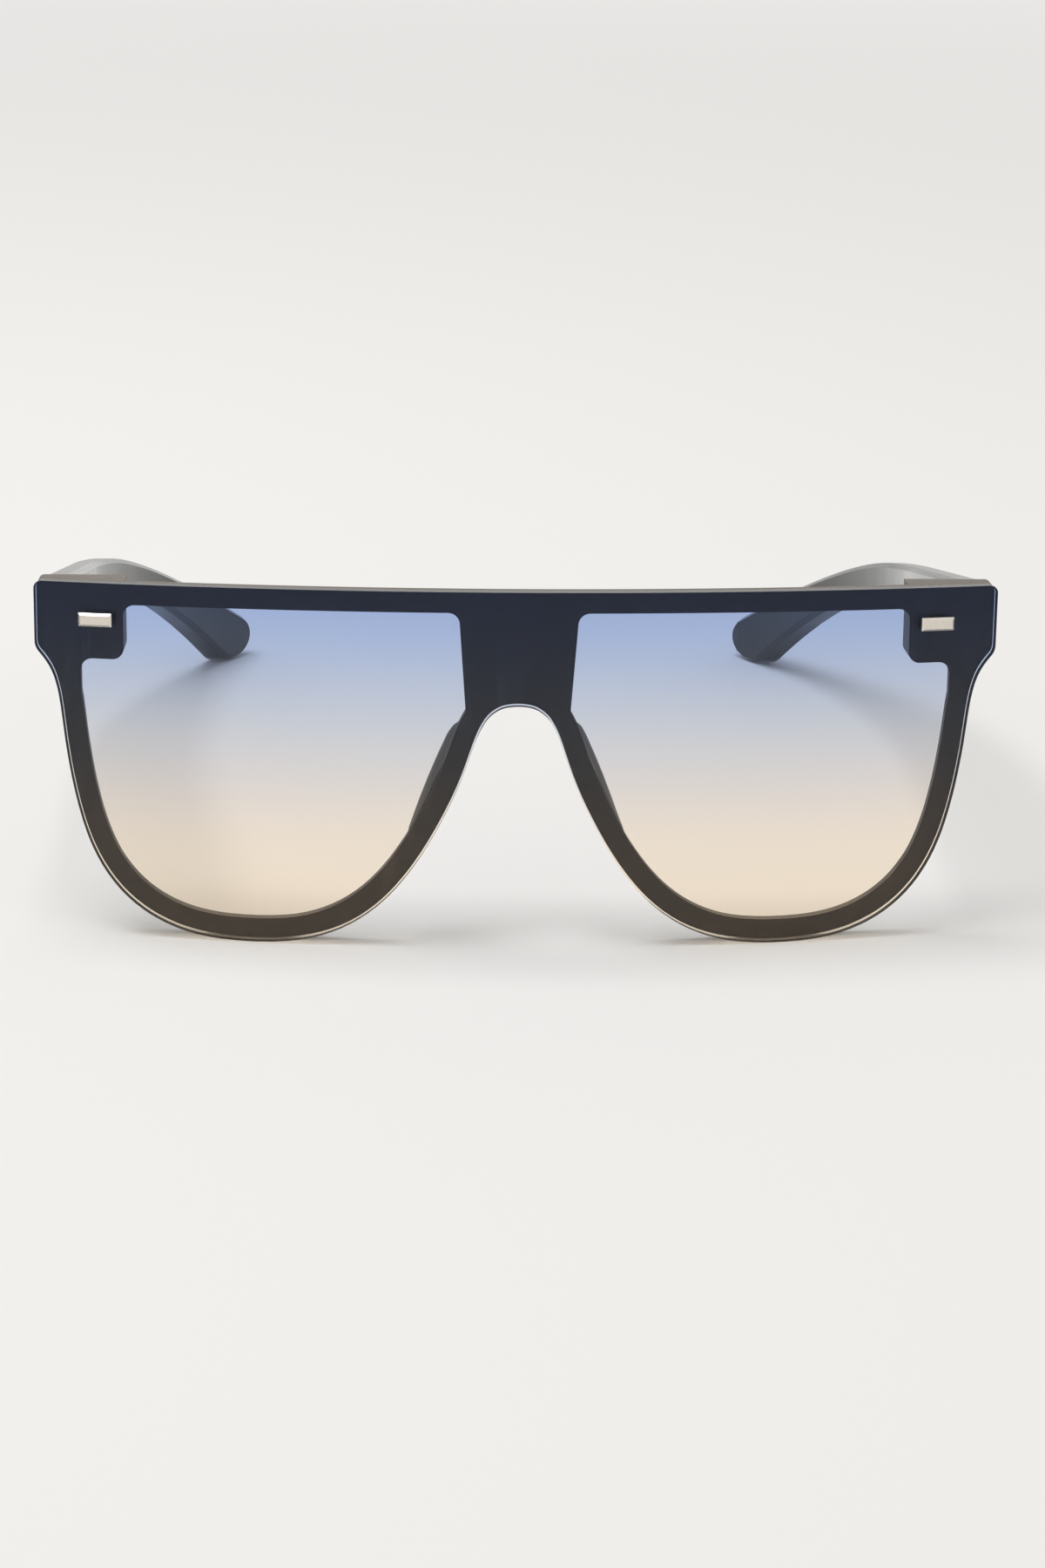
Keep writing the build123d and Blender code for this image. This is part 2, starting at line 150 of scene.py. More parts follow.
class NodePen:
    """Adds nodes to a tree from left to right and wires them up."""

    COLUMN_WIDTH = 190
    BLEND_FACTOR, BLEND_FIRST, BLEND_SECOND, BLEND_RESULT = 0, 6, 7, 2

    def __init__(self, tree: NodeTree) -> None:
        """Starts on a material's node tree or on a node group."""
        self.tree = tree
        self.column = 0

    def add(self, kind: str, **values: Any) -> Node:
        """Adds a node and sets its properties.

        Args:
            kind: The node's type, such as ShaderNodeMath.
            **values: Properties to set on the node.

        Returns:
            The new node.
        """
        node = self.tree.nodes.new(kind)
        node.location = (self.column * self.COLUMN_WIDTH, 0)
        self.column += 1
        for name, value in values.items():
            setattr(node, name, value)
        return node

    def wire(self, source: Any, target: NodeSocket) -> None:
        """Joins an output to an input, or sets the input to a plain value.

        Args:
            source: The output or the value.
            target: The input.
        """
        if isinstance(source, NodeSocket):
            self.tree.links.new(source, target)
        else:
            target.default_value = source

    def math(self, operation: str, first: Value, second: Value) -> NodeSocket:
        """Works out one value from two.

        Args:
            operation: The Math node's operation, such as MULTIPLY.
            first: A socket or a number.
            second: A socket or a number.

        Returns:
            The outcome.
        """
        node = self.add("ShaderNodeMath", operation=operation)
        for source, target in zip((first, second), node.inputs):
            self.wire(source, target)
        return node.outputs[0]

    def weigh(self, first: Value, second: Value, share: float) -> NodeSocket:
        """Adds up the first value by its share and the second by the rest."""
        return self.math("ADD", self.math("MULTIPLY", first, share),
                         self.math("MULTIPLY", second, 1 - share))

    def spread(self, value: Value, low: Value = 0.0, high: Value = 1.0, to_low: Value = 0.0,
               to_high: Value = 1.0) -> NodeSocket:
        """Maps a value from one range to another and clamps it.

        Args:
            value: The socket to map.
            low: Where the range starts.
            high: Where the range ends.
            to_low: What low becomes.
            to_high: What high becomes.

        Returns:
            The mapped value.
        """
        node = self.add("ShaderNodeMapRange", clamp=True)
        names = ("Value", "From Min", "From Max", "To Min", "To Max")
        for source, name in zip((value, low, high, to_low, to_high), names):
            self.wire(source, node.inputs[name])
        return node.outputs["Result"]

    def blend(self, factor: Value, first: Paint, second: Paint, mode: str = "MIX") -> NodeSocket:
        """Mixes two colours.

        Args:
            factor: How much of the second, from 0 to 1.
            first: A colour socket or four numbers.
            second: A colour socket or four numbers.
            mode: The blend type.

        Returns:
            The mixed colour.
        """
        node = self.add("ShaderNodeMix", data_type="RGBA", blend_type=mode)
        self.wire(factor, node.inputs[self.BLEND_FACTOR])
        self.wire(first, node.inputs[self.BLEND_FIRST])
        self.wire(second, node.inputs[self.BLEND_SECOND])
        return node.outputs[self.BLEND_RESULT]

    def place(self) -> NodeSocket:
        """The place of a point on the object at rest."""
        return self.add("ShaderNodeTexCoord").outputs["Object"]

    def stretched(self, place: NodeSocket, scale: Triple,
                  turn: Triple = (0.0, 0.0, 0.0)) -> NodeSocket:
        """A place turned and then stretched, for a pattern with a direction.

        Args:
            place: The place.
            scale: The scale along X, Y and Z, where less than 1 stretches the pattern.
            turn: The turn about X, Y and Z, in radians.

        Returns:
            The new place.
        """
        node = self.add("ShaderNodeMapping")
        for source, name in ((place, "Vector"), (turn, "Rotation"), (scale, "Scale")):
            self.wire(source, node.inputs[name])
        return node.outputs["Vector"]

    def noise(self, place: NodeSocket, scale: Value, detail: float,
              roughness: float = 0.5) -> NodeSocket:
        """A noise pattern.

        Args:
            place: Where the pattern is read.
            scale: How many patches it has to a metre.
            detail: How many finer layers lie over the patches.
            roughness: How strong the finer layers are.

        Returns:
            The pattern's value, from 0 to 1.
        """
        node = self.add("ShaderNodeTexNoise")
        rows = ((place, "Vector"), (scale, "Scale"), (detail, "Detail"), (roughness, "Roughness"))
        for source, name in rows:
            self.wire(source, node.inputs[name])
        return node.outputs["Fac"]

    def effect(self, group: NodeTree, **values: float) -> Any:
        """Places one of the shared effects.

        Args:
            group: The effect's node group.
            **values: Values for its inputs, by name with _ for a space.

        Returns:
            The effect's outputs, by name.
        """
        node = self.add("ShaderNodeGroup", node_tree=group)
        for word, value in values.items():
            node.inputs[socket_name(word)].default_value = value
        return node.outputs

    def bump(self, height: NodeSocket, depth: float, strength: float) -> NodeSocket:
        """Turns a height into relief.

        Args:
            height: The height, from 0 to 1.
            depth: How deep the relief is.
            strength: How much of it shows.

        Returns:
            The normal.
        """
        node = self.add("ShaderNodeBump")
        for source, name in ((depth, "Distance"), (strength, "Strength"), (height, "Height")):
            self.wire(source, node.inputs[name])
        return node.outputs["Normal"]

    def surface(self, factor: NodeSocket, shader: Node, other: Node) -> None:
        """Ends a material whose shader gives way to another one.

        Args:
            factor: How much of the other shader shows, from 0 to 1.
            shader: The material's shader.
            other: The shader that it gives way to.
        """
        mix = self.add("ShaderNodeMixShader")
        for source, target in zip((factor, shader.outputs[0], other.outputs[0]), mix.inputs):
            self.wire(source, target)
        self.wire(mix.outputs[0], self.tree.get_output_node("ALL").inputs["Surface"])


class Effects:
    """The surface effects that several finishes share, each a node group built once."""

    def __init__(self) -> None:
        """Builds the groups."""
        self.grain = self._grain()
        self.handling = self._handling()
        self.worn_edge = self._worn_edge()
        self.brushing = self._brushing()
        self.dust_and_highlight = self._dust_and_highlight()

    @staticmethod
    def _open(name: str, **inputs: float) -> tuple[NodePen, Any]:
        """Starts a group.

        Args:
            name: The group's name.
            **inputs: The first values of its inputs, by name with _ for a space.

        Returns:
            The group's pen and its inputs, by name.
        """
        group = bpy.data.node_groups.new(name, "ShaderNodeTree")
        for word, value in inputs.items():
            socket = group.interface.new_socket(socket_name(word), in_out="INPUT",
                                                socket_type="NodeSocketFloat")
            socket.default_value = value
        pen = NodePen(group)
        return pen, pen.add("NodeGroupInput").outputs

    @staticmethod
    def _close(pen: NodePen, **outputs: NodeSocket) -> NodeTree:
        """Ends a group.

        Args:
            pen: The group's pen.
            **outputs: What it puts out, by name with _ for a space.

        Returns:
            The group.
        """
        for word in outputs:
            pen.tree.interface.new_socket(socket_name(word), in_out="OUTPUT",
                                          socket_type="NodeSocketFloat")
        result = pen.add("NodeGroupOutput")
        for word, value in outputs.items():
            pen.wire(value, result.inputs[socket_name(word)])
        return pen.tree

    def _grain(self) -> NodeTree:
        """Fine pits of a moulded surface over coarser ones, with a cloudy tone.

        Returns:
            The group, with outputs Height and Tone.
        """
        coarseness, pit_share, height_share = 0.31, 0.65, 0.6
        pen, given = self._open("moulded grain", scale=5200.0, cloud_scale=90.0)
        place = pen.place()
        pits = pen.noise(place, given["Scale"], detail=1.5, roughness=0.6)
        coarse_scale = pen.math("MULTIPLY", given["Scale"], coarseness)
        coarse = pen.noise(place, coarse_scale, detail=1.0)
        clouds = pen.noise(place, given["Cloud Scale"], detail=3.0)
        height = pen.weigh(pits, coarse, pit_share)
        tone = pen.weigh(height, clouds, height_share)
        return self._close(pen, height=height, tone=pen.spread(tone, low=0.34, high=0.66))

    def _handling(self) -> NodeTree:
        """Faint smears that handling leaves, drawn out one way.

        Returns:
            The group, with output Mask.
        """
        pen, given = self._open("handling smears", scale=55.0, streak_scale=240.0)
        place = pen.place()
        drawn_out = pen.stretched(place, scale=(1.0, 0.35, 0.3), turn=(0.4, 0.2, 0.7))
        patches = pen.noise(place, given["Scale"], detail=2.0)
        streaks = pen.noise(drawn_out, given["Streak Scale"], detail=4.0, roughness=0.65)
        mask = pen.math("MULTIPLY", pen.spread(patches, low=0.42, high=0.68),
                        pen.spread(streaks, low=0.35, high=0.75))
        return self._close(pen, mask=mask)

    def _worn_edge(self) -> NodeTree:
        """Where edges stand proud and get rubbed, broken up by flecks.

        Returns:
            The group, with output Mask.
        """
        softness = 0.12
        pen, given = self._open("worn edge", threshold=0.56, break_up=900.0)
        shape = pen.add("ShaderNodeNewGeometry").outputs["Pointiness"]
        end = pen.math("ADD", given["Threshold"], softness)
        flecks = pen.noise(pen.place(), given["Break Up"], detail=3.0)
        mask = pen.math("MULTIPLY", pen.spread(shape, low=given["Threshold"], high=end),
                        pen.spread(flecks, low=0.3, high=0.7, to_low=0.45))
        return self._close(pen, mask=mask)

    def _brushing(self) -> NodeTree:
        """Fine parallel lines of brushed metal, along X.

        Returns:
            The group, with outputs Height and Tone.
        """
        pen, given = self._open("brushed lines", scale=9000.0)
        drawn_out = pen.stretched(pen.place(), scale=(0.03, 1.0, 1.0))
        lines = pen.noise(drawn_out, given["Scale"], detail=3.0, roughness=0.7)
        return self._close(pen, height=lines, tone=pen.spread(lines, low=0.3, high=0.7))

    def _dust_and_highlight(self) -> NodeTree:
        """A painted highlight on surfaces that look up, broken up by dusty specks.

        Returns:
            The group, with output Mask.
        """
        pen, given = self._open("dusty painted top highlight", amount=0.5, scale=1500.0)
        facing = pen.add("ShaderNodeSeparateXYZ")
        pen.wire(pen.add("ShaderNodeTexCoord").outputs["Normal"], facing.inputs[0])
        # Faces that look up are lightened: a painted highlight where the light falls on the tops.
        upward = pen.spread(facing.outputs["Z"], low=0.8, high=0.98)
        specks = pen.noise(pen.place(), given["Scale"], detail=4.0, roughness=0.7)
        settled = pen.math("MULTIPLY", upward, pen.spread(specks, low=0.3, high=0.7, to_low=0.55))
        return self._close(pen, mask=pen.math("MULTIPLY", settled, given["Amount"]))


def fresh_material(name: str) -> tuple[Material, NodePen, Node]:
    """A material with one shader and its output.

    Args:
        name: The material's name.

    Returns:
        The material, its pen and its Principled shader.
    """
    material = bpy.data.materials.new(name)
    material.use_nodes = True
    material.node_tree.nodes.clear()
    pen = NodePen(material.node_tree)
    shader = pen.add("ShaderNodeBsdfPrincipled")
    result = pen.add("ShaderNodeOutputMaterial")
    pen.wire(shader.outputs[0], result.inputs["Surface"])
    return material, pen, shader


@dataclass(frozen=True)
class MouldedPlastic:
    """Charcoal moulded plastic: fine grain, rubbed edges, smears, and a painted highlight on its
    tops with dusty specks.
    """

    name: str
    dark: Color
    light: Color
    roughness: float
    grain_depth: float
    grain_scale: float
    sheen: float
    gloss: float
    # The tops are lightened by a painted highlight with dusty specks, in this tan.
    dust_and_highlight: float
    dust_and_highlight_color: Color = (0.44, 0.36, 0.27)
    rubbed_lift: float = 1.7
    rubbed_share: float = 0.5
    rubbed_polish: float = 0.1
    handled_polish: float = 0.08
    roughness_swing: float = 0.04
    grain_strength: float = 0.6
    sheen_roughness: float = 0.35
    ior: float = 1.5

    def material(self, effects: Effects) -> Material:
        """Builds the material.

        Args:
            effects: The shared node groups.

        Returns:
            The material.
        """
        material, pen, shader = fresh_material(self.name)
        grain = pen.effect(effects.grain, scale=self.grain_scale)
        worn = pen.effect(effects.worn_edge)["Mask"]
        smears = pen.effect(effects.handling)["Mask"]
        # Mask that lightens the tops: a painted highlight with dusty specks.
        dust_and_highlight = pen.effect(effects.dust_and_highlight, amount=self.dust_and_highlight)["Mask"]
        pen.wire(self._color(pen, grain["Tone"], worn, dust_and_highlight), shader.inputs["Base Color"])
        pen.wire(self._rough(pen, grain["Tone"], worn, smears), shader.inputs["Roughness"])
        normal = pen.bump(grain["Height"], self.grain_depth, self.grain_strength)
        pen.wire(normal, shader.inputs["Normal"])
        shader.inputs["IOR"].default_value = self.ior
        shader.inputs["Specular IOR Level"].default_value = self.gloss
        shader.inputs["Sheen Weight"].default_value = self.sheen
        shader.inputs["Sheen Roughness"].default_value = self.sheen_roughness
        return material

    def _color(self, pen: NodePen, tone: NodeSocket, worn: NodeSocket,
               dust_and_highlight: NodeSocket) -> NodeSocket:
        """The colour: mottled, paler on rubbed edges, and paler on its tops from a painted
        highlight with dusty specks.

        Args:
            pen: The material's pen.
            tone: The grain's tone.
            worn: The mask of rubbed edges.
            dust_and_highlight: The mask of the painted top highlight with dusty specks.

        Returns:
            The colour.
        """
        rubbed = tuple(self.rubbed_lift * value for value in self.light)
        color = pen.blend(tone, opaque(self.dark), opaque(self.light))
        color = pen.blend(pen.math("MULTIPLY", worn, self.rubbed_share), color, opaque(rubbed))
        # The painted top highlight, with dusty specks, is mixed over the colour.
        return pen.blend(dust_and_highlight, color, opaque(self.dust_and_highlight_color))

    def _rough(self, pen: NodePen, tone: NodeSocket, worn: NodeSocket,
               smears: NodeSocket) -> NodeSocket:
        """The roughness: less on rubbed edges and smears.

        Args:
            pen: The material's pen.
            tone: The grain's tone.
            worn: The mask of rubbed edges.
            smears: The mask of smears.

        Returns:
            The roughness.
        """
        rough = pen.spread(tone, to_low=self.roughness - self.roughness_swing,
                           to_high=self.roughness + self.roughness_swing)
        rough = pen.math("SUBTRACT", rough, pen.math("MULTIPLY", worn, self.rubbed_polish))
        return pen.math("SUBTRACT", rough, pen.math("MULTIPLY", smears, self.handled_polish))


@dataclass(frozen=True)
class GradientLens:
    """Clear sheet, tinted from peach at its bottom to blue at its top."""

    name: str
    stops: tuple[tuple[float, Color], ...]
    haze: float = 0.02
    ior: float = 1.5
    reflection: Color = (0.44, 0.44, 0.46)
    shadow_clearness: float = 0.45

    def material(self, effects: Effects, low: Vector, up: Vector, height: float) -> Material:
        """Builds the material. Lamps shine through it, tinted and weakened.

        Args:
            effects: The shared node groups.
            low: The lens's lowest point.
            up: The direction up the front.
            height: The lens's height.

        Returns:
            The material.
        """
        material, pen, shader = fresh_material(self.name)
        tint = self._tint(pen, low, up, height)
        pen.wire(tint, shader.inputs["Base Color"])
        smears = pen.effect(effects.handling)["Mask"]
        pen.wire(pen.spread(smears, to_high=self.haze), shader.inputs["Roughness"])
        shader.inputs["Transmission Weight"].default_value = 1.0
        shader.inputs["IOR"].default_value = self.ior
        shader.inputs["Specular Tint"].default_value = opaque(self.reflection)
        clear = pen.add("ShaderNodeBsdfTransparent")
        grey = opaque((self.shadow_clearness,) * 3)
        pen.wire(pen.blend(1.0, tint, grey, "MULTIPLY"), clear.inputs["Color"])
        pen.surface(pen.add("ShaderNodeLightPath").outputs["Is Shadow Ray"], shader, clear)
        return material

    def _tint(self, pen: NodePen, low: Vector, up: Vector, height: float) -> NodeSocket:
        """The tint, which changes with the height up the front.

        Args:
            pen: The material's pen.
            low: The lens's lowest point.
            up: The direction up the front.
            height: The lens's height.

        Returns:
            The colour.
        """
        along = pen.add("ShaderNodeVectorMath", operation="DOT_PRODUCT")
        pen.wire(pen.place(), along.inputs[0])
        pen.wire(up, along.inputs[1])
        start = low.dot(up)
        share = pen.spread(along.outputs["Value"], low=start, high=start + height)
        ramp = pen.add("ShaderNodeValToRGB")
        ramp.color_ramp.interpolation = "B_SPLINE"
        elements = ramp.color_ramp.elements
        for element, (place, color) in zip(elements, (self.stops[0], self.stops[-1])):
            element.position = place
            element.color = opaque(color)
        for place, color in self.stops[1:-1]:
            elements.new(place).color = opaque(color)
        pen.wire(share, ramp.inputs["Fac"])
        return ramp.outputs["Color"]


@dataclass(frozen=True)
class SatinMetal:
    """Brushed or turned small metal parts."""

    name: str
    color: Color
    roughness: float
    line_depth: float
    line_shade: float = 0.86
    line_strength: float = 0.5
    roughness_swing: float = 0.05
    handled_dulling: float = 0.1

    def material(self, effects: Effects) -> Material:
        """Builds the material.

        Args:
            effects: The shared node groups.

        Returns:
            The material.
        """
        material, pen, shader = fresh_material(self.name)
        lines = pen.effect(effects.brushing)
        smears = pen.effect(effects.handling)["Mask"]
        darker = tuple(self.line_shade * value for value in self.color)
        color = pen.blend(lines["Tone"], opaque(darker), opaque(self.color))
        pen.wire(color, shader.inputs["Base Color"])
        rough = pen.spread(lines["Tone"], to_low=self.roughness - self.roughness_swing,
                           to_high=self.roughness + self.roughness_swing)
        rough = pen.math("ADD", rough, pen.math("MULTIPLY", smears, self.handled_dulling))
        pen.wire(rough, shader.inputs["Roughness"])
        normal = pen.bump(lines["Height"], self.line_depth, self.line_strength)
        pen.wire(normal, shader.inputs["Normal"])
        shader.inputs["Metallic"].default_value = 1.0
        return material


FRAME_PLASTIC = MouldedPlastic(
    "frame plastic",
    dark=(0.019, 0.018, 0.018),
    light=(0.046, 0.043, 0.040),
    roughness=0.54,
    grain_depth=0.02 * MM,
    grain_scale=4200.0,
    sheen=0.1,
    gloss=0.36,
    # How much the tops are lightened by a painted highlight with dusty specks.
    dust_and_highlight=0.3,
)
TEMPLE_PLASTIC = MouldedPlastic(
    "temple plastic",
    dark=(0.014, 0.016, 0.017),
    light=(0.021, 0.023, 0.024),
    roughness=0.34,
    grain_depth=0.015 * MM,
    grain_scale=3600.0,
    sheen=0.9,
    gloss=0.5,
    # How much the tops are lightened by a painted highlight with dusty specks.
    dust_and_highlight=0.18,
)
LENS_TINT = GradientLens(
    "lens tint",
    stops=(
        (0.06, (1.0, 0.875, 0.71)),
        (0.24, (1.0, 0.885, 0.745)),
        (0.34, (0.95, 0.85, 0.752)),
        (0.44, (0.835, 0.79, 0.762)),
        (0.53, (0.755, 0.745, 0.775)),
        (0.63, (0.645, 0.69, 0.775)),
        (0.73, (0.56, 0.63, 0.795)),
        (0.83, (0.46, 0.56, 0.795)),
        (0.94, (0.37, 0.48, 0.78)),
    ),
)
PLAQUE_METAL = SatinMetal("plaque metal", (0.82, 0.76, 0.68), roughness=0.24, line_depth=0.004 * MM)
HINGE_METAL = SatinMetal("hinge metal", (0.66, 0.64, 0.61), roughness=0.32, line_depth=0.006 * MM)
SCREW_METAL = SatinMetal("screw metal", (0.74, 0.73, 0.70), roughness=0.22, line_depth=0.003 * MM)


def dress(node: str, material: Material) -> None:
    """Gives a node of the frame its finish.

    Args:
        node: The node's name.
        material: The finish.
    """
    for slot in bpy.data.objects[node].material_slots:
        slot.material = material
    log.info("%s: %s", node, material.name)


def nearest(place: Vector, stretches: list[Stretch]) -> tuple[Vector, float]:
    """The nearest point of a row of straight stretches.

    Args:
        place: A point in the same plane.
        stretches: The stretches, as pairs of points.

    Returns:
        The nearest point and its distance.
    """
    best = (place, math.inf)
    for start, end in stretches:
        run = end - start
        share = min(1.0, max(0.0, (place - start).dot(run) / run.length_squared))
        point = start + run * share
        gap = (place - point).length
        if gap < best[1]:
            best = (point, gap)
    return best


@dataclass(frozen=True)
class Softened:
    """A finer copy of a plain solid: its edges are rounded and its curves run smooth.

    Attributes:
        node: The solid's node.
        name: The copy's name.
        body: The body that it moves with.
        slot: The record's slot for its finish, which is not used.
        rounding: How wide its edges are rounded.
        segments: How many steps the rounding has.
        edge_angle: The least bend that counts as an edge to round, in degrees.
        smooth_angle: The least bend that stays sharp in the shading, in degrees.
        flat_angle: The most bend between faces that are joined into one, in degrees.
        weld: How close two points are joined.
    """

    node: str
    name: str
    body: str
    slot: str
    rounding: float
    segments: int = 3
    edge_angle: float = 24.0
    smooth_angle: float = 32.0
    flat_angle: float = 0.2
    weld: float = 0.0005 * MM

    def build(self, material: Material, reshape: Callable[[BMesh], None] | None = None) -> None:
        """Makes the copy in place of the solid.

        Args:
            material: The piece's finish.
            reshape: Moves the points of the copy before its edges are rounded.
        """
        shape = bmesh.new()
        shape.from_mesh(bpy.data.objects[self.node].data)
        bmesh.ops.remove_doubles(shape, verts=shape.verts, dist=self.weld)
        bmesh.ops.dissolve_limit(shape, angle_limit=math.radians(self.flat_angle),
                                 verts=shape.verts, edges=shape.edges)
        if reshape:
            reshape(shape)
        mesh = bpy.data.meshes.new(self.name)
        shape.to_mesh(mesh)
        shape.free()
        mesh.shade_smooth()
        mesh.set_sharp_from_angle(angle=math.radians(self.smooth_angle))
        mesh.materials.append(material)
        piece = bpy.data.objects.new(self.name, mesh)
        bpy.context.scene.collection.objects.link(piece)
        self._round(piece)
        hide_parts(self.node)
        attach(piece, self.body)
        log.info("%s: %d faces before rounding", self.name, len(mesh.polygons))

    def _round(self, piece: Object) -> None:
        """Rounds the edges of the copy.

        Args:
            piece: The copy.
        """
        bevel = piece.modifiers.new("rounded edges", "BEVEL")
        bevel.width = self.rounding
        bevel.segments = self.segments
        bevel.limit_method = "ANGLE"
        bevel.angle_limit = math.radians(self.edge_angle)
        bevel.harden_normals = True
        bevel.miter_outer = "MITER_ARC"


@dataclass
class ShieldLens:
    """The lens, a sheet bent round an upright axis, with walls cut square to its face.

    Attributes:
        attitude: How the front stands.
        height: From the lowest to the highest point.
        wrap_radius: From the axis that it is bent round to its face.
        thickness: The sheet's.
        strip: The width of the narrow faces that its curve is cut into.
        closeness: How near the face a point of the plain solid counts as on it.
        weld: How close two points are joined.
        smooth_angle: The least bend that stays sharp in the shading, in degrees.
        pin_level: How far up the plaques' pin holes are.
        pin_out: How far from the middle they are.
        pin_reach: How far round them their edges reach.
    """

    attitude: Attitude
    height: float = 55.7 * MM
    wrap_radius: float = 350.0 * MM
    thickness: float = 1.8 * MM
    strip: float = 1.6 * MM
    closeness: float = 0.02 * MM
    weld: float = 0.002 * MM
    smooth_angle: float = 30.0
    pin_level: float = 50.2 * MM
    pin_out: float = 64.35 * MM
    pin_reach: float = 2.6 * MM

    def build(self, effects: Effects) -> None:
        """Makes the lens in place of its plain solid.

        Args:
            effects: The shared node groups.
        """
        sheet = self._flat_sheet()
        lens = self._bent(sheet)
        sheet.free()
        attitude = self.attitude
        tint = LENS_TINT.material(effects, attitude.stand, attitude.up, self.height)
        lens.data.materials.append(tint)
        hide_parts("shield_lens")
        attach(lens, "front")
        log.info("%s: %d faces", lens.name, len(lens.data.polygons))

    def outline(self) -> list[Stretch]:
        """The edge of the lens's face, seen straight from the front.

        Returns:
            The edge's straight stretches, as pairs of side and height.
        """
        sheet = self._flat_sheet()
        stretches = []
        for edge in sheet.edges:
            start, end = (Vector((self._side(vertex.co.x), vertex.co.y)) for vertex in edge.verts)
            if edge.is_boundary and not self._at_pin(start.x, start.y):
                stretches.append((start, end))
        sheet.free()
        return stretches

    def _side(self, length: float) -> float:
        """How far to the side a length round the wrap leads."""
        return self.wrap_radius * math.sin(length / self.wrap_radius)

    def _flat_sheet(self) -> BMesh:
        """The lens's face rolled out flat and cut into narrow upright strips.

        Returns:
            The flat mesh: x is the length round the wrap and y the height.
        """
        sheet = bmesh.new()
        source = bpy.data.objects["shield_lens"].data
        places: dict[int, Any] = {}
        for vertex in source.vertices:
            side, height, depth = self.attitude.reading(vertex.co)
            inward = self.wrap_radius - depth
            if abs(math.hypot(side, inward) - self.wrap_radius) < self.closeness:
                length = self.wrap_radius * math.atan2(side, inward)
                places[vertex.index] = sheet.verts.new((length, height, 0))
        for polygon in source.polygons:
            if all(index in places for index in polygon.vertices):
                sheet.faces.new([places[index] for index in polygon.vertices])
        bmesh.ops.remove_doubles(sheet, verts=sheet.verts, dist=self.weld)
        half = max(vertex.co.x for vertex in sheet.verts)
        count = int(half / self.strip)
        for number in range(-count, count + 1):
            parts = sheet.verts[:] + sheet.edges[:] + sheet.faces[:]
            bmesh.ops.bisect_plane(sheet, geom=parts, plane_co=(number * self.strip, 0, 0),
                                   plane_no=(1, 0, 0), dist=self.weld)
        return sheet

    def _bent(self, sheet: BMesh) -> Object:
        """The solid lens from its flat sheet.

        Args:
            sheet: The flat mesh.

        Returns:
            The lens.
        """
        inner = self.wrap_radius - self.thickness
        front = [self._bent_point(vertex.co, self.wrap_radius) for vertex in sheet.verts]
        rear = [self._bent_point(vertex.co, inner) for vertex in sheet.verts]
        sheet.verts.index_update()
        count = len(front)
        faces = []
        for face in sheet.faces:
            ring = [vertex.index for vertex in face.verts]
            if face.normal.z > 0:
                ring.reverse()
            faces.append(ring[::-1])
            faces.append([index + count for index in ring])
        for edge in sheet.edges:
            if edge.is_boundary:
                start, end = (vertex.index for vertex in edge.verts)
                faces.append([start, end, end + count, start + count])
        mesh = bpy.data.meshes.new("lens")
        mesh.from_pydata(front + rear, [], faces)
        solid = bmesh.new()
        solid.from_mesh(mesh)
        bmesh.ops.recalc_face_normals(solid, faces=solid.faces)
        solid.to_mesh(mesh)
        solid.free()
        mesh.shade_smooth()
        mesh.set_sharp_from_angle(angle=math.radians(self.smooth_angle))
        lens = bpy.data.objects.new("lens", mesh)
        bpy.context.scene.collection.objects.link(lens)
        return lens

    def _at_pin(self, side: float, height: float) -> bool:
        """Whether a place on the front lies by a plaque's pin holes."""
        beside = abs(abs(side) - self.pin_out) < self.pin_reach
        return beside and abs(height - self.pin_level) < self.pin_reach

    def _bent_point(self, place: Vector, radius: float) -> Vector:
        """A point of the flat sheet, bent round the wrap axis.

        The lens's walls run to the axis, but its pin holes run straight back.

        Args:
            place: The point on the flat sheet.
            radius: Its distance from the wrap axis.

        Returns:
            The point in the scene.
        """
        side = radius * math.sin(place.x / self.wrap_radius)
        if self._at_pin(side, place.y):
            side = self._side(place.x)
        depth = self.wrap_radius - math.sqrt(radius**2 - side**2)
        return self.attitude.point(side, place.y, depth)


